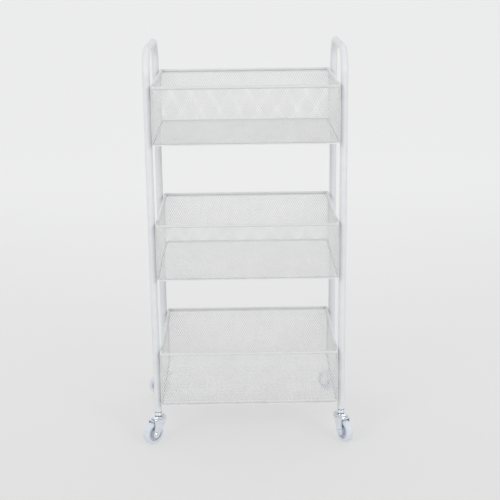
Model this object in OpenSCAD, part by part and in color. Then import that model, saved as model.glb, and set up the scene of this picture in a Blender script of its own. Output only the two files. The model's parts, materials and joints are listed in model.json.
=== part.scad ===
// Rolling utility cart: two inverted-U side frames of round tube carry three
// identical wire-rimmed mesh baskets and stand on four swivel casters.
// The origin is on the floor, midway between the four legs.
// +X is to the right, +Y to the back and +Z up. All sizes are in millimetres.

/* [Side frames] */
// Outside diameter of the frame tube
tube_d = 16; // [15:0.5:17]
// Wall thickness of the frame tube
tube_wall = 1; // [0.8:0.1:1.2]
// Distance between the left and right tubes' centre lines
track_x = 412; // [380:1:460]
// Distance between the front and rear tubes' centre lines
track_y = 270; // [240:1:280]
// Height of the handle bars' centre line above the floor
handle_z = 874; // [860:0.5:900]
// Centre-line radius of the bends at the handle
bend_r = 50; // [40:1:60]
// Height where the handle tube plugs onto the leg tube
seam_z = 506.5; // [505:0.5:510]
// Length of the leg tube's swaged spigot inside the handle tube
spigot_l = 32; // [20:1:45]

/* [Baskets] */
// Outside length of a basket over its mesh walls, left to right
basket_x = 395; // [393:0.5:395]
// Outside width of a basket over its mesh walls, front to back
basket_y = 315; // [305:1:330]
// Height of the bottom basket's rim centre line above the floor
rim_z0 = 215.5; // [214:0.5:218]
// Height of the middle basket's rim centre line above the floor
rim_z1 = 506.5; // [504:0.5:508]
// Height of the top basket's rim centre line above the floor
rim_z2 = 801.5; // [798:0.5:805]
// Height from the base wire's centre line to the rim's centre line
basket_h = 118.5; // [90:0.5:119]
// Diameter of the rim wire
rim_wire_d = 5.5; // [4.5:0.5:6]
// Diameter of the wire round the bottom edge
base_wire_d = 4; // [3:0.5:5]
// Outside radius of the baskets' plan corners
corner_r = 9; // [8:0.5:20]
// Thickness of the mesh sheet
mesh_t = 0.8; // [0.6:0.1:1]

/* [Casters] */
// Wheel diameter over the tyre
wheel_d = 50; // [48:0.5:50]
// Width of the tyre
tread_w = 15.5; // [14:0.5:18]
// Distance from the swivel axis to the wheel's axle
trail = 16; // [15:0.5:17]
// Axle diameter
axle_d = 6; // [5:0.5:6]
// Direction of each caster's trail: front left, front right, rear left, rear right
caster_angle = [224, 298, 180, 130];

/* [Hidden] */
$fn = 48;

TIERS = ["bottom", "middle", "top"];
TUBES = ["front_left", "front_right", "rear_left", "rear_right"];
SIDES = ["left", "right"];

function tier_nodes(t) = [for (p = ["rim", "base_wire", "walls", "floor", "plates", "screws"])
    str(t, "_basket_", p)];
function caster_nodes(c) = [for (p = ["stem", "race", "balls", "fork", "axle", "wheel", "tyre"])
    str("caster_", c, "_", p)];

painted = [0.93, 0.94, 0.95];
mesh_white = [0.88, 0.90, 0.91];
plated = [0.74, 0.78, 0.84];
dark_plastic = [0.10, 0.10, 0.11];
core_grey = [0.62, 0.64, 0.67];
tyre_grey = [0.86, 0.87, 0.89];

// The mesh walls are the baskets' outer skin, and both wires lie inside them
wall_hx = basket_x / 2;
wall_hy = basket_y / 2;
// From the wall's outer face at a tube to the tube's centre line
wall_gap = track_x / 2 - wall_hx;

// Plates that back the mesh where it is screwed to the tubes
plate_y = 14;
plate_h = 24;
plate_drop = rim_wire_d / 2 + plate_h / 2;
plate_t = 1.2;
screw_d = 5;
screw_l = 12;
screw_hole = 5.5;
head_d = 9.5;
head_h = 2.4;
socket_af = 3;
nut_d = 7;
nut_l = 9;

// Casters, from the floor up
wheel_z = wheel_d / 2;
hub_w = 19.8;
fork_gap = 20.4;
fork_t = 1.8;
crown_z = 54.5;
crown_r = 16.2;
crown_top = crown_z + fork_t;
dust_ring_h = 1.3;
ball_d = 4;
ball_ring_r = 12.3;
ball_n = 16;
ball_z = crown_top + ball_d / 2 + 0.1;
race_z = ball_z + ball_d / 2 + 0.3;
race_top = 63;
race_r = 16.7;
neck_r = 5.5;
collar_z = 64.4;
collar_top = 71;
collar_r = 9.4;
socket_flange = 1.3;
tube_foot = collar_top + socket_flange;
socket_l = 25;
stem_d = 8;
kingpin_gap = 0.08;
fit_gap = 0.05;
wheel_rim_r = 18;

function rim_z(tier) = [rim_z0, rim_z1, rim_z2][tier];
function base_z(tier) = rim_z(tier) - basket_h;
function screw_z(tier) = rim_z(tier) - plate_drop;
function side_of(i) = i % 2 == 0 ? -1 : 1;
function end_of(i) = i < 2 ? -1 : 1;

// ---------- shared shapes ----------

// Places the children at a corner leg: 0 front left, 1 front right, 2 and 3 behind
module at_leg(i) {
    translate([side_of(i) * track_x / 2, end_of(i) * track_y / 2, 0])
        children();
}

// Places the children at one tier's four screws, drawn with +X pointing from
// the basket into the tube and the origin on the tube's centre line
module at_screws(tier) {
    for (i = [0:3])
        translate([0, 0, screw_z(tier)])
            at_leg(i)
                rotate(side_of(i) > 0 ? 0 : 180)
                    children();
}

// Sweeps a section round a rounded rectangle: the section's x points outwards
// from the path and its y points up
module sweep_loop(hx, hy, r) {
    for (q = [0:3]) {
        a = q % 2 == 0 ? hx : hy;
        b = q % 2 == 0 ? hy : hx;
        rotate(90 * q) {
            translate([a, b - r, 0])
                rotate([90, 0, 0])
                    linear_extrude(2 * (b - r))
                        children();
            translate([a - r, b - r, 0])
                rotate_extrude(angle = 90)
                    translate([r, 0])
                        children();
        }
    }
}

module rounded_slab(hx, hy, r, h) {
    linear_extrude(h)
        union() {
            square([2 * (hx - r), 2 * hy], center = true);
            square([2 * hx, 2 * (hy - r)], center = true);
            for (x = [-1, 1], y = [-1, 1])
                translate([x * (hx - r), y * (hy - r)])
                    circle(r);
        }
}

module tube_section() {
    difference() {
        circle(d = tube_d);
        circle(d = tube_d - 2 * tube_wall);
    }
}

// Holes for the rivet nuts in the tube's wall that faces the baskets
module nut_holes() {
    for (tier = [0:2])
        at_screws(tier)
            rotate([0, -90, 0])
                cylinder(d = nut_d + 2 * fit_gap, h = tube_d);
}

// ---------- side frames ----------

module handle_tube(i) {
    bend_z = handle_z - bend_r;
    color(painted)
        difference() {
            translate([side_of(i) * track_x / 2, 0, 0])
                for (m = [0, 1])
                    mirror([0, m, 0]) {
                        translate([0, track_y / 2, seam_z])
                            linear_extrude(bend_z - seam_z)
                                tube_section();
                        translate([0, track_y / 2 - bend_r, bend_z])
                            rotate([90, 0, 90])
                                rotate_extrude(angle = 90)
                                    translate([bend_r, 0])
                                        tube_section();
                        translate([0, 0, handle_z])
                            rotate([-90, 0, 0])
                                linear_extrude(track_y / 2 - bend_r)
                                    tube_section();
                    }
            nut_holes();
        }
}

// Leg tube with its upper end swaged down to plug into the handle tube
module leg_tube(i) {
    spigot_d = tube_d - 2 * tube_wall - 0.1;
    color(painted)
        difference() {
            at_leg(i)
                difference() {
                    union() {
                        translate([0, 0, tube_foot])
                            cylinder(d = tube_d, h = seam_z - tube_foot);
                        cylinder(d = spigot_d, h = seam_z + spigot_l);
                    }
                    translate([0, 0, -1])
                        cylinder(d = tube_d + 2, h = tube_foot + 1);
                    cylinder(d = tube_d - 2 * tube_wall, h = seam_z - 3);
                    cylinder(d = spigot_d - 2 * tube_wall, h = handle_z);
                }
            nut_holes();
        }
}

module rivet_nuts() {
    color(plated)
        for (tier = [0:2])
            at_screws(tier)
                translate([-wall_gap, 0, 0])
                    rotate([0, 90, 0])
                        difference() {
                            cylinder(d = nut_d, h = nut_l);
                            translate([0, 0, -1])
                                cylinder(d = screw_d + 0.1, h = nut_l + 2);
                        }
}

// Plugs in the tube ends, threaded for the casters' stems
module stem_sockets() {
    color(dark_plastic)
        for (i = [0:3])
            at_leg(i)
                difference() {
                    union() {
                        translate([0, 0, collar_top])
                            cylinder(d = tube_d, h = socket_flange);
                        translate([0, 0, collar_top])
                            cylinder(d = tube_d - 2 * tube_wall, h = socket_l + socket_flange);
                    }
                    cylinder(d = stem_d + 0.1, h = seam_z);
                }
}

// ---------- baskets ----------

module basket_rim(tier) {
    inset = mesh_t + rim_wire_d / 2;
    color(painted)
        translate([0, 0, rim_z(tier)])
            sweep_loop(wall_hx - inset, wall_hy - inset, corner_r - inset)
                circle(d = rim_wire_d);
}

module basket_base_wire(tier) {
    inset = mesh_t + base_wire_d / 2;
    color(painted)
        translate([0, 0, base_z(tier)])
            sweep_loop(wall_hx - inset, wall_hy - inset, corner_r - inset)
                circle(d = base_wire_d);
}

module basket_walls(tier) {
    foot = base_wire_d / 2;
    color(mesh_white)
        difference() {
            translate([0, 0, base_z(tier) - foot])
                sweep_loop(wall_hx, wall_hy, corner_r)
                    translate([-mesh_t, 0])
                        square([mesh_t, basket_h + foot]);
            at_screws(tier)
                rotate([0, -90, 0])
                    cylinder(d = screw_hole, h = tube_d * 2);
        }
}

// The floor lies on the base wire, inside the walls
module basket_floor(tier) {
    color(mesh_white)
        translate([0, 0, base_z(tier) + base_wire_d / 2])
            rounded_slab(wall_hx - mesh_t, wall_hy - mesh_t, corner_r - mesh_t, mesh_t);
}

module basket_plates(tier) {
    color(painted)
        at_screws(tier)
            difference() {
                translate([-wall_gap - mesh_t - plate_t, -plate_y / 2, -plate_h / 2])
                    cube([plate_t, plate_y, plate_h]);
                rotate([0, -90, 0])
                    cylinder(d = screw_hole, h = tube_d * 2);
            }
}

// Button-head screws from inside the basket into the tubes' rivet nuts
module basket_screws(tier) {
    hex_depth = 1.6;
    color(painted)
        at_screws(tier)
            translate([-wall_gap - mesh_t - plate_t, 0, 0])
                rotate([0, 90, 0])
                    difference() {
                        union() {
                            cylinder(d = screw_d, h = screw_l);
                            translate([0, 0, -head_h])
                                cylinder(d1 = head_d * 0.6, d2 = head_d, h = head_h);
                        }
                        translate([0, 0, -head_h - 1])
                            cylinder(d = socket_af / cos(30), h = hex_depth + 1, $fn = 6);
                    }
}

// ---------- casters ----------
// Each is drawn with its swivel axis on Z and its trail along +X.

module at_caster(i) {
    at_leg(i)
        rotate(caster_angle[i])
            children();
}

// Threaded stem, collar and kingpin, riveted over below the fork's crown
module caster_stem() {
    color(plated)
        rotate_extrude()
            polygon([
                [0, crown_z - 2.5], [4.5, crown_z - 2.5], [6.5, crown_z - 1.2],
                [6.5, crown_z - 0.3], [stem_d / 2, crown_z - 0.3],
                [stem_d / 2, race_top], [neck_r, race_top], [neck_r, collar_z],
                [collar_r - 0.6, collar_z], [collar_r, collar_z + 0.6],
                [collar_r, collar_z + 1.8], [collar_r - 1.8, collar_top],
                [stem_d / 2, collar_top], [stem_d / 2, collar_top + 22],
                [stem_d / 2 - 1, collar_top + 23], [0, collar_top + 23]
            ]);
}

// Upper ball race: a dome with a skirt over the fork's crown
module caster_race() {
    bore = stem_d / 2 + 0.02;
    skirt_z = crown_top + dust_ring_h + 1.1;
    color(plated)
        rotate_extrude()
            polygon([
                [bore, race_z], [race_r - 0.9, race_z], [race_r - 0.9, skirt_z],
                [race_r, skirt_z], [race_r, race_z + 0.3], [race_r - 1.8, race_z + 1.2],
                [8, race_top], [bore, race_top]
            ]);
}

module caster_balls() {
    color(plated)
        for (k = [0:ball_n - 1])
            rotate(k * 360 / ball_n)
                translate([ball_ring_r, 0, ball_z])
                    sphere(d = ball_d);
}

// Where a line from p all but touches a circle of radius r about c, just
// inside it, so that it meets the circle's edge; side 1 or -1 picks which
function tangent(p, c, r, side) =
    let (v = p - c, inner = r - 0.15, a = atan2(v[1], v[0]) + side * acos(inner / norm(v)))
    c + inner * [cos(a), sin(a)];

// Side outline of a fork leg, from the crown to a round end at the axle
module leg_outline() {
    axle = [trail, wheel_z];
    end_r = 9;
    front = [19, crown_z - 9];
    rear = [-12.5, crown_z - 4.5];
    translate(axle)
        circle(end_r);
    polygon([
        [-14, crown_top], [15.5, crown_top], [17.8, crown_z + 1], [19, crown_z - 0.7],
        front, tangent(front, axle, end_r, -1), axle,
        tangent(rear, axle, end_r, 1), rear, [-14, crown_z]
    ]);
}

// Cross-section of the pressed fork: a U with rounded shoulders
module u_section(half, top, r) {
    translate([-half, 0])
        square([2 * half, top - r]);
    translate([-half + r, 0])
        square([2 * (half - r), top]);
    for (s = [-1, 1])
        translate([s * (half - r), top - r])
            circle(r);
}

// Lip turned down in front of the tyre, clear of the legs on both sides
module fork_lip() {
    lip_y = 8.5;
    lip_x = 19.8;
    lip_drop = 1.7;
    translate([0, -lip_y, crown_z])
        cube([lip_x, 2 * lip_y, fork_t]);
    translate([lip_x - fork_t, -lip_y, crown_z - lip_drop])
        cube([fork_t, 2 * lip_y, fork_t + lip_drop]);
}

module caster_fork() {
    half = fork_gap / 2;
    color(plated)
        difference() {
            union() {
                intersection() {
                    translate([-20, 0, 0])
                        rotate([90, 0, 90])
                            linear_extrude(60)
                                difference() {
                                    u_section(half + fork_t, crown_top, 3);
                                    u_section(half, crown_z, 1.2);
                                }
                    translate([0, half + fork_t + 1, 0])
                        rotate([90, 0, 0])
                            linear_extrude(fork_gap + 2 * fork_t + 2)
                                leg_outline();
                }
                fork_lip();
                translate([0, 0, crown_z])
                    cylinder(r = crown_r, h = fork_t);
                translate([0, 0, crown_z])
                    difference() {
                        cylinder(r = crown_r, h = fork_t + dust_ring_h);
                        cylinder(r = crown_r - 1.6, h = fork_t + dust_ring_h + 1);
                    }
            }
            cylinder(r = stem_d / 2 + kingpin_gap, h = collar_top);
            axle_line(axle_d + 2 * fit_gap);
        }
}

// A bore across the fork at the axle
module axle_line(d) {
    translate([trail, 30, wheel_z])
        rotate([90, 0, 0])
            cylinder(d = d, h = 60);
}

// Axle bolt with a socket head on one side and a hexagon nut on the other
module caster_axle() {
    half = fork_gap / 2 + fork_t;
    bolt_head_h = 2.8;
    color(plated)
        translate([trail, 0, wheel_z])
            rotate([-90, 0, 0]) {
                translate([0, 0, -half - 4.5])
                    cylinder(d = axle_d, h = 2 * half + 4.5);
                translate([0, 0, half])
                    difference() {
                        cylinder(d1 = 10, d2 = 7, h = bolt_head_h);
                        translate([0, 0, bolt_head_h - 1.6])
                            cylinder(d = 4 / cos(30), h = 2, $fn = 6);
                    }
                translate([0, 0, -half - 3.6])
                    difference() {
                        cylinder(d = 11, h = 3.6, $fn = 6);
                        translate([0, 0, -1])
                            cylinder(d = axle_d, h = 6);
                    }
            }
}

module at_wheel() {
    translate([trail, 0, wheel_z])
        rotate([90, 0, 0])
            children();
}

// Wheel centre: hub, thin web and rim, recessed on both sides
module caster_wheel() {
    bore = axle_d / 2 + fit_gap;
    hub_r = 9.8;
    web_w = 8;
    rim_t = 1.6;
    rim_w = tread_w - 1.5;
    color(core_grey)
        at_wheel()
            rotate_extrude() {
                translate([bore, -hub_w / 2])
                    square([hub_r - bore, hub_w]);
                translate([hub_r - 0.5, -web_w / 2])
                    square([wheel_rim_r - hub_r, web_w]);
                translate([wheel_rim_r - rim_t, -rim_w / 2])
                    square([rim_t, rim_w]);
            }
}

module caster_tyre() {
    shoulder = 3.5;
    inner = wheel_rim_r + fit_gap;
    outer = wheel_d / 2;
    color(tyre_grey)
        at_wheel()
            rotate_extrude() {
                translate([inner, -tread_w / 2])
                    square([outer - shoulder - inner, tread_w]);
                translate([inner, shoulder - tread_w / 2])
                    square([outer - inner, tread_w - 2 * shoulder]);
                for (s = [-1, 1])
                    translate([outer - shoulder, s * (tread_w / 2 - shoulder)])
                        circle(shoulder);
            }
}

// ---------- output ----------

for (i = [0:1])
    handle_tube(i);
for (i = [0:3])
    leg_tube(i);
rivet_nuts();
stem_sockets();
for (t = [0:2]) {
    name = str(TIERS[t], "_basket_");
    basket_rim(t);
    basket_base_wire(t);
    basket_walls(t);
    basket_floor(t);
    basket_plates(t);
    basket_screws(t);
}
for (i = [0:3]) {
    name = str("caster_", TUBES[i], "_");
    at_caster(i) caster_stem();
    at_caster(i) caster_race();
    at_caster(i) caster_balls();
    at_caster(i) caster_fork();
    at_caster(i) caster_axle();
    at_caster(i) caster_wheel();
    at_caster(i) caster_tyre();
}
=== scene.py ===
"""Rolling utility cart: the looks. Metres, the CAD's own frame: origin on the floor
midway between the legs, +X right, +Y back, +Z up."""

import json
import math

import bpy
import numpy as np
from mathutils import Matrix, Vector

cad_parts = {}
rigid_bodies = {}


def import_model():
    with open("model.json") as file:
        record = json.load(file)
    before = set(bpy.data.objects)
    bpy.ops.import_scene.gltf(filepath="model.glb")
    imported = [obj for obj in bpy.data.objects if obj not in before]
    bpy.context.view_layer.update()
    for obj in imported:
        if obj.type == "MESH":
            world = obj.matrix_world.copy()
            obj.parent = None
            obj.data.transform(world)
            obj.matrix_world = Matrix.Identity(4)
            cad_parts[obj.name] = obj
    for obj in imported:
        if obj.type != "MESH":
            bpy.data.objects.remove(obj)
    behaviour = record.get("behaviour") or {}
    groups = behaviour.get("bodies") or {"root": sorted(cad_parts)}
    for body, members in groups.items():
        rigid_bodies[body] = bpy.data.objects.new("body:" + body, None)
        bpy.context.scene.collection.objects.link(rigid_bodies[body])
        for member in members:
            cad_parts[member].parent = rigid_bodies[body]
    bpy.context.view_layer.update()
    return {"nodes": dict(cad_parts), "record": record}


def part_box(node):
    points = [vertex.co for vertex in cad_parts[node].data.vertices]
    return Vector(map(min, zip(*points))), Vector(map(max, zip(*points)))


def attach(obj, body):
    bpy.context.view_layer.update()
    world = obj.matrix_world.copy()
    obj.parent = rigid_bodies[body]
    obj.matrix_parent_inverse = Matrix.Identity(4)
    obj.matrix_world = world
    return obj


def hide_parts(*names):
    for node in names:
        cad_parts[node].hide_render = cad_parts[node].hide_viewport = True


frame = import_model()

NODES = frame["nodes"]
RECORD = frame["record"]
TIERS = ("bottom", "middle", "top")
LEGS = ("front_left", "front_right", "rear_left", "rear_right")
MM = 0.001


# ---------- materials ----------


def principled(name, colour, roughness, **sockets):
    """A new node material and its Principled shader."""
    m = bpy.data.materials.new(name)
    m.use_nodes = True
    shader = m.node_tree.nodes["Principled BSDF"]
    shader.inputs["Base Color"].default_value = (*colour, 1)
    shader.inputs["Roughness"].default_value = roughness
    for key, value in sockets.items():
        shader.inputs[key.replace("_", " ")].default_value = value
    return m, shader


def coordinates(m):
    return m.node_tree.nodes.new("ShaderNodeTexCoord").outputs["Object"]


def noise(m, scale, detail=3.0, roughness=0.5, stretch=None):
    """A noise pattern in object space; scale is in features per metre."""
    tree = m.node_tree
    texture = tree.nodes.new("ShaderNodeTexNoise")
    texture.inputs["Scale"].default_value = scale
    texture.inputs["Detail"].default_value = detail
    texture.inputs["Roughness"].default_value = roughness
    source = coordinates(m)
    if stretch:
        mapping = tree.nodes.new("ShaderNodeMapping")
        mapping.inputs["Scale"].default_value = stretch
        tree.links.new(source, mapping.inputs["Vector"])
        source = mapping.outputs["Vector"]
    tree.links.new(source, texture.inputs["Vector"])
    return texture.outputs["Fac"]


def ramp(m, source, low, high, start=0.3, end=0.7):
    """A colour or grey that goes from low to high as source goes from start to end."""
    node = m.node_tree.nodes.new("ShaderNodeValToRGB")
    for stop, place, colour in zip(node.color_ramp.elements, (start, end), (low, high)):
        stop.position = place
        stop.color = (*colour, 1) if isinstance(colour, tuple) else (colour,) * 3 + (1,)
    m.node_tree.links.new(source, node.inputs["Fac"])
    return node.outputs["Color"]


def bump(m, shader, source, height, strength=1.0):
    """Adds a bump of that height in metres, on top of any that is there."""
    tree = m.node_tree
    node = tree.nodes.new("ShaderNodeBump")
    node.inputs["Distance"].default_value = height
    node.inputs["Strength"].default_value = strength
    tree.links.new(source, node.inputs["Height"])
    if shader.inputs["Normal"].is_linked:
        tree.links.new(shader.inputs["Normal"].links[0].from_socket, node.inputs["Normal"])
    tree.links.new(node.outputs["Normal"], shader.inputs["Normal"])


def drive(m, shader, socket, source):
    m.node_tree.links.new(source, shader.inputs[socket])


def powder_coat(name, pale, dull, peel):
    """Satin powder coat: faint thick and thin patches, patchy gloss and an orange
    peel of that height."""
    m, shader = principled(name, pale, 0.42, Coat_Weight=0.15, Coat_Roughness=0.3)
    thickness, gloss, orange_peel = noise(m, 35, 4), noise(m, 120, 3), noise(m, 900, 2)
    drive(m, shader, "Base Color", ramp(m, thickness, dull, pale, 0.3, 0.62))
    drive(m, shader, "Roughness", ramp(m, gloss, 0.36, 0.5))
    bump(m, shader, orange_peel, peel)
    return m


def zinc_plate():
    """Bright bluish zinc: faint clouding, patchy gloss, drawing marks from the press."""
    pale, blue = (0.93, 0.95, 0.98), (0.80, 0.85, 0.92)
    m, shader = principled("zinc_plate", pale, 0.2, Metallic=1.0)
    clouds, gloss, marks = noise(m, 90, 4), noise(m, 260, 4), noise(m, 500, 3, stretch=(1, 1, 7))
    drive(m, shader, "Base Color", ramp(m, clouds, blue, pale))
    drive(m, shader, "Roughness", ramp(m, gloss, 0.14, 0.3))
    bump(m, shader, marks, 0.04 * MM)
    return m


def moulded_plastic(name, pale, dark, roughness, grain_height):
    """Moulded plastic or rubber: faint shading, patchy gloss and a fine grain.
    roughness is its (lowest, highest) value."""
    m, shader = principled(name, pale, roughness[0], Specular_IOR_Level=0.5)
    shading, gloss, grain = noise(m, 70, 3), noise(m, 300, 2), noise(m, 1400, 2)
    drive(m, shader, "Base Color", ramp(m, shading, dark, pale))
    drive(m, shader, "Roughness", ramp(m, gloss, *roughness))
    bump(m, shader, grain, grain_height)
    return m


PAINT = powder_coat("white_powder_coat", (0.78, 0.79, 0.805), (0.74, 0.75, 0.765), 0.03 * MM)
MESH_PAINT = powder_coat("mesh_powder_coat", (0.81, 0.81, 0.81), (0.76, 0.76, 0.76), 0.04 * MM)
ZINC = zinc_plate()
SOCKET = moulded_plastic(
    "socket_plastic", (0.030, 0.031, 0.034), (0.018, 0.018, 0.02), (0.4, 0.55), 0.02 * MM
)
CORE = moulded_plastic("wheel_plastic", (0.60, 0.64, 0.70), (0.54, 0.58, 0.64), (0.3, 0.42), 0.02 * MM)
TYRE = moulded_plastic("tyre_rubber", (0.74, 0.78, 0.84), (0.68, 0.72, 0.78), (0.4, 0.55), 0.04 * MM)
SLOT_MATERIALS = {
    "frame_paint": PAINT,
    "mesh_paint": MESH_PAINT,
    "plated": ZINC,
    "socket_plastic": SOCKET,
    "wheel_plastic": CORE,
    "tyre_rubber": TYRE,
}


def dress_cad_nodes():
    """Every CAD node takes the material of its slot in the record."""
    for part in RECORD["subparts"]:
        data = NODES[part["node"]].data
        data.materials.clear()
        data.materials.append(SLOT_MATERIALS[part["material_slot"]])


# ---------- expanded mesh ----------

# Width of a strand and thickness of its metal
STRAND = 0.95 * MM
SHEET = 0.6 * MM
# How far every other row of crossings stands out, and a strand's edges are turned
RAISE = 0.1 * MM
TWIST = 0.5 * MM
# Solid strip along a sheet's edges
BAND = 1.6 * MM
# One diamond, across and up
CELL = (5.4 * MM, 9.4 * MM)
# Outside plan radius of the baskets' corners
CORNER_R = 9 * MM
# Rows of strands over the rim wire and hanging inside it
FOLD_ROWS, TAIL_ROWS = 3, 1


class Lattice:
    """A diamond lattice in (u, v): nodes where column + row is even and a cell round
    every other place. Rows and columns are half cells apart. wrap joins the last
    column to the first."""

    def __init__(self, columns, rows, wrap):
        self.columns, self.rows, self.wrap = columns, rows, wrap
        self.ids, self.grid = {}, []
        width = columns if wrap else columns + 1
        for row in range(rows + 1):
            for column in range(width):
                if (column + row) % 2 == 0:
                    self.ids[column, row] = len(self.grid)
                    self.grid.append((column, row))

    def node(self, column, row):
        if self.wrap:
            column %= self.columns
        return self.ids.get((column, row))

    def cells(self):
        """(unwrapped corners, node ids) of each cell, counter-clockwise, with the
        corners outside the lattice left out."""
        width = self.columns if self.wrap else self.columns + 1
        for row in range(self.rows + 1):
            for column in range(width):
                if (column + row) % 2 == 0:
                    continue
                around = [(column - 1, row), (column, row - 1), (column + 1, row), (column, row + 1)]
                found = [c for c in around if self.node(*c) is not None]
                yield found, [self.node(*c) for c in found]


def expanded_sheet(name, lattice, place, outward, open_share):
    """A closed mesh of a diamond-mesh sheet. place maps an (n, 2) array of lattice
    coordinates to points and unit normals; outward moves border coordinates out to
    the sheet's edge; open_share is the hole's size against its cell's. Each strand
    is twisted, as the press leaves it: a hole's upper rim stands out and its lower
    rim in."""
    grid = np.array(lattice.grid, float)
    hole_at, hole_lift, hole_rings, rings = [], [], [], []
    for corners, nodes in lattice.cells():
        corners = np.array(corners, float)
        centre = corners.mean(0)
        start = len(hole_at)
        hole_at.extend(centre + (corners - centre) * open_share)
        above_centre = np.sign(np.round(corners[:, 1] - centre[1], 3))
        hole_lift.extend(above_centre * TWIST)
        rings.append(nodes)
        hole_rings.append(range(start, start + len(nodes)))
    used = set()
    for ring in rings:
        used.update(zip(ring, ring[1:] + ring[:1]))
    border = [(a, b) for a, b in used if (b, a) not in used]
    edge_nodes = sorted({n for pair in border for n in pair})
    edge_of = {n: i for i, n in enumerate(edge_nodes)}
    n_grid, n_hole = len(grid), len(hole_at)
    flat = np.concatenate([grid, np.array(hole_at), outward(grid[edge_nodes])])
    points, normals = place(flat)
    lift = np.zeros(len(flat))
    lift[:n_grid] = np.where(grid[:, 1] % 2 == 0, RAISE, -RAISE)
    lift[n_grid:n_grid + n_hole] = hole_lift
    half = SHEET / 2
    front = points + normals * (lift + half)[:, None]
    back = points + normals * (lift - half)[:, None]
    total = len(flat)
    faces = []
    for ring, hole in zip(rings, hole_rings):
        count = len(ring)
        for i in range(count):
            a, b = ring[i], ring[(i + 1) % count]
            c, d = n_grid + hole[i], n_grid + hole[(i + 1) % count]
            faces.append((a, b, d, c))
            faces.append((c + total, d + total, b + total, a + total))
            faces.append((c, d, d + total, c + total))
    first = n_grid + n_hole
    for a, b in border:
        c, d = first + edge_of[a], first + edge_of[b]
        faces.append((b, a, c, d))
        faces.append((d + total, c + total, a + total, b + total))
        faces.append((d, c, c + total, d + total))
    mesh = bpy.data.meshes.new(name)
    mesh.from_pydata(np.concatenate([front, back]).tolist(), [], faces)
    mesh.validate()
    mesh.update()
    mesh.materials.append(MESH_PAINT)
    return mesh


def open_share_of(cell):
    """How large a hole is against its cell, for strands STRAND wide."""
    a, b = cell[0] / 2, cell[1] / 2
    return 1 - (STRAND / 2) / (a * b / math.hypot(a, b))


def round_path(half_x, half_y, radius):
    """The length of a rounded rectangle, and a function from arc length to points
    and outward normals on it, counter-clockwise from the middle of the +X side."""
    long, short = 2 * (half_x - radius), 2 * (half_y - radius)
    straight = [short / 2, long, short, long, short / 2]
    arc = math.pi / 2 * radius
    total = sum(straight) + 4 * arc
    corner = [(1, 1), (-1, 1), (-1, -1), (1, -1)]

    def at(s):
        s = np.mod(s, total)
        points, normals = np.zeros((len(s), 2)), np.zeros((len(s), 2))
        start = 0.0
        for k in range(5):
            angle = k * math.pi / 2
            n = np.array([math.cos(angle), math.sin(angle)])
            t = np.array([-n[1], n[0]])
            reach = half_x if k % 2 == 0 else half_y
            along = -(half_y if k % 2 == 0 else half_x) + radius if k else 0.0
            hit = (s >= start) & (s <= start + straight[k])
            points[hit] = n * reach + t * (along + s[hit] - start)[:, None]
            normals[hit] = n
            start += straight[k]
            if k < 4:
                hit = (s > start) & (s < start + arc)
                turn = angle + (s[hit] - start) / radius
                n = np.stack([np.cos(turn), np.sin(turn)], 1)
                centre = np.array(corner[k]) * np.array([half_x - radius, half_y - radius])
                points[hit] = centre + n * radius
                normals[hit] = n
                start += arc
        return points, normals

    return total, at


def sheet_thickness():
    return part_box("bottom_basket_walls")[1].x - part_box("bottom_basket_floor")[1].x


def middle_and_radius(wire):
    """Height of a wire's centre line and the wire's radius."""
    low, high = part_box(wire)
    return (low.z + high.z) / 2, (high.z - low.z) / 2


def wall_mesh():
    """The wall sheet, which runs up outside the base wire, folds over the rim wire
    and ends in a short tail inside."""
    low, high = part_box("bottom_basket_walls")
    half = sheet_thickness() / 2
    foot_z = low.z + BAND
    rim_z, rim_r = middle_and_radius("bottom_basket_rim")
    fold_r = rim_r + half
    total, at = round_path(high.x - half, high.y - half, CORNER_R - half)
    columns = 2 * round(total / CELL[0])
    up_rows = round(2 * (rim_z - foot_z) / CELL[1])
    rows = up_rows + FOLD_ROWS + TAIL_ROWS
    du, dv = total / columns, (rim_z - foot_z) / up_rows
    tail_row = fold_r * math.pi / FOLD_ROWS

    def section(row):
        """Inset from the wall, height and the normal's outward and upward parts."""
        rise = np.minimum(row, up_rows) * dv
        fold = np.clip((row - up_rows) / FOLD_ROWS, 0, 1) * math.pi
        tail = np.maximum(row - up_rows - FOLD_ROWS, 0) * tail_row
        inset = fold_r * (1 - np.cos(fold))
        z = foot_z + rise + fold_r * np.sin(fold) - tail
        return inset, z, np.cos(fold), np.sin(fold)

    def place(flat):
        points, normals = at(flat[:, 0] * du)
        inset, z, out, up = section(flat[:, 1])
        at_sheet = np.column_stack([points - normals * inset[:, None], z])
        return at_sheet, np.column_stack([normals * out[:, None], up])

    def outward(flat):
        edge = flat.copy()
        edge[:, 1] += np.where(flat[:, 1] < rows / 2, -BAND / dv, BAND / dv)
        return edge

    share = open_share_of((2 * du, 2 * dv))
    return expanded_sheet("mesh_walls", Lattice(columns, rows, True), place, outward, share)


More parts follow.
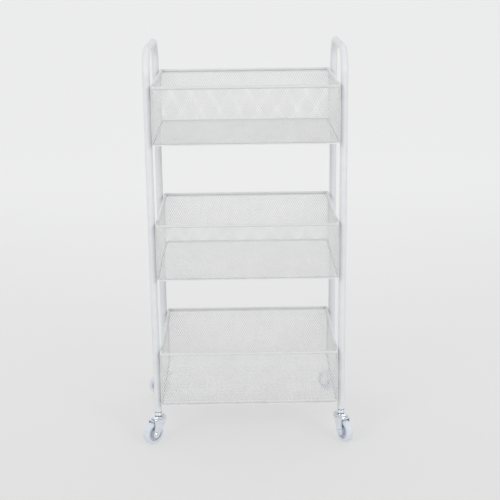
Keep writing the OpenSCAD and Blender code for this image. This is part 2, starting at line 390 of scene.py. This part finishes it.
def floor_mesh():
    """The flat floor sheet, with rounded corners."""
    low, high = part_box("bottom_basket_floor")
    z = (low.z + high.z) / 2
    half_x, half_y = high.x - BAND, high.y - BAND
    radius = CORNER_R - sheet_thickness() - BAND
    columns = 2 * round(half_x * 2 / CELL[0])
    rows = 2 * round(half_y * 2 / CELL[1])
    du, dv = 2 * half_x / columns, 2 * half_y / rows

    def rounded(x, y, r):
        """Squeezes the corners of a rectangle into arcs."""
        u = np.maximum(np.abs(x) - (half_x - r), 0)
        v = np.maximum(np.abs(y) - (half_y - r), 0)
        hit = (u > 0) & (v > 0)
        share = np.where(hit, np.maximum(u, v) / np.maximum(np.hypot(u, v), 1e-9), 1)
        nx = np.sign(x) * np.where(hit, half_x - r + u * share, np.abs(x))
        ny = np.sign(y) * np.where(hit, half_y - r + v * share, np.abs(y))
        return nx, ny

    def place(flat):
        x = -half_x + flat[:, 0] * du
        y = -half_y + flat[:, 1] * dv
        x, y = rounded(x, y, radius)
        up = np.tile([0.0, 0.0, 1.0], (len(flat), 1))
        return np.column_stack([x, y, np.full(len(flat), z)]), up

    def outward(flat):
        edge = flat.copy()
        for axis, last, step in ((0, columns, BAND / du), (1, rows, BAND / dv)):
            edge[:, axis] += np.where(flat[:, axis] == last, step, 0) - np.where(flat[:, axis] == 0, step, 0)
        return edge

    share = open_share_of((2 * du, 2 * dv))
    return expanded_sheet("mesh_floor", Lattice(columns, rows, False), place, outward, share)


def make_mesh_panels():
    """The three baskets share one wall mesh and one floor mesh."""
    walls, floor = wall_mesh(), floor_mesh()
    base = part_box("bottom_basket_walls")[0].z
    for tier in TIERS:
        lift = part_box(f"{tier}_basket_walls")[0].z - base
        for mesh, part in ((walls, "walls"), (floor, "floor")):
            panel = bpy.data.objects.new(f"{tier}_basket_{part}_mesh", mesh)
            panel.location.z = lift
            bpy.context.scene.collection.objects.link(panel)
            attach(panel, "frame")
            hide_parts(f"{tier}_basket_{part}")


# ---------- studio ----------


def backdrop():
    """A pale floor that curves up into a wall far behind the cart. Its emission is a painted
    glow that stands in for fill light, brighter further back, so shadows on it stay faint."""
    m, shader = principled("backdrop_painted_glow", (0.3, 0.3, 0.3), 0.9, Specular_IOR_Level=0.1)
    split = m.node_tree.nodes.new("ShaderNodeSeparateXYZ")
    m.node_tree.links.new(coordinates(m), split.inputs["Vector"])
    reach = m.node_tree.nodes.new("ShaderNodeMapRange")
    reach.inputs["From Min"].default_value, reach.inputs["From Max"].default_value = -0.4, 2.6
    m.node_tree.links.new(split.outputs["Y"], reach.inputs["Value"])
    # painted glow: emission that stands in for fill light on the floor, ramped brighter further back, which
    # keeps shadows faint
    near_glow, far_glow = (0.462, 0.462, 0.458), (0.568, 0.568, 0.568)
    drive(m, shader, "Emission Color", ramp(m, reach.outputs["Result"], near_glow, far_glow, 0.0, 1.0))
    shader.inputs["Emission Strength"].default_value = 1.0
    curve_y, curve_r, wall_top, half_w, near = 3.0, 2.0, 6.0, 9.0, -7.0
    profile = [(near, 0.0), (curve_y, 0.0)]
    steps = 24
    for k in range(1, steps + 1):
        a = math.pi / 2 * k / steps
        profile.append((curve_y + curve_r * math.sin(a), curve_r * (1 - math.cos(a))))
    profile.append((curve_y + curve_r, wall_top))
    verts = [(x, y, z) for y, z in profile for x in (-half_w, half_w)]
    faces = [(2 * i, 2 * i + 1, 2 * i + 3, 2 * i + 2) for i in range(len(profile) - 1)]
    mesh = bpy.data.meshes.new("backdrop")
    mesh.from_pydata(verts, [], faces)
    mesh.materials.append(m)
    for polygon in mesh.polygons:
        polygon.use_smooth = True
    sweep = bpy.data.objects.new("backdrop", mesh)
    bpy.context.scene.collection.objects.link(sweep)


def softbox(name, at, aim, size, power):
    """A rectangular lamp aimed at a point; power is in watts."""
    light = bpy.data.lights.new(name, "AREA")
    light.shape = "RECTANGLE"
    light.size, light.size_y = size
    light.energy = power
    lamp = bpy.data.objects.new(name, light)
    lamp.location = at
    lamp.rotation_euler = (Vector(aim) - Vector(at)).to_track_quat("-Z", "Y").to_euler()
    bpy.context.scene.collection.objects.link(lamp)


def lighting():
    """An even pale sky, a soft lamp at each front corner and one on the backdrop."""
    world = bpy.data.worlds.new("studio")
    world.use_nodes = True
    sky = world.node_tree.nodes["Background"]
    sky.inputs["Color"].default_value = (0.98, 0.99, 1.0, 1)
    sky.inputs["Strength"].default_value = 0.74
    bpy.context.scene.world = world
    for side, x in (("left", -2.0), ("right", 2.0)):
        softbox(f"{side}_box", (x, -2.4, 1.8), (0, 0, 0.35), (1.0, 1.0), 20)
    softbox("wall_box", (0, 1.2, 3.6), (0, 3.6, 0.2), (4.0, 1.0), 20)
    bpy.context.scene.view_settings.view_transform = "Standard"


def camera():
    """The viewpoint fitted to the cart's straight tubes and rims."""
    place = Vector((-0.0136, -2.478, 1.107))
    pitch, yaw, roll = 0.2747, 0.008, 0.0121
    focal, frame_px, sensor = 1123.9, 500, 36
    forward = Vector((math.sin(yaw) * math.cos(pitch), math.cos(yaw) * math.cos(pitch), -math.sin(pitch)))
    right = Vector((math.cos(yaw), -math.sin(yaw), 0))
    down = forward.cross(right)
    right_r = right * math.cos(roll) + down * math.sin(roll)
    up_r = right * math.sin(roll) - down * math.cos(roll)
    data = bpy.data.cameras.new("camera")
    data.sensor_width = sensor
    data.lens = focal / frame_px * sensor
    shot = bpy.data.objects.new("camera", data)
    axes = Matrix((right_r, up_r, -forward)).transposed()
    shot.matrix_world = Matrix.Translation(place) @ axes.to_4x4()
    bpy.context.scene.collection.objects.link(shot)
    bpy.context.scene.camera = shot


dress_cad_nodes()
make_mesh_panels()
backdrop()
lighting()
camera()
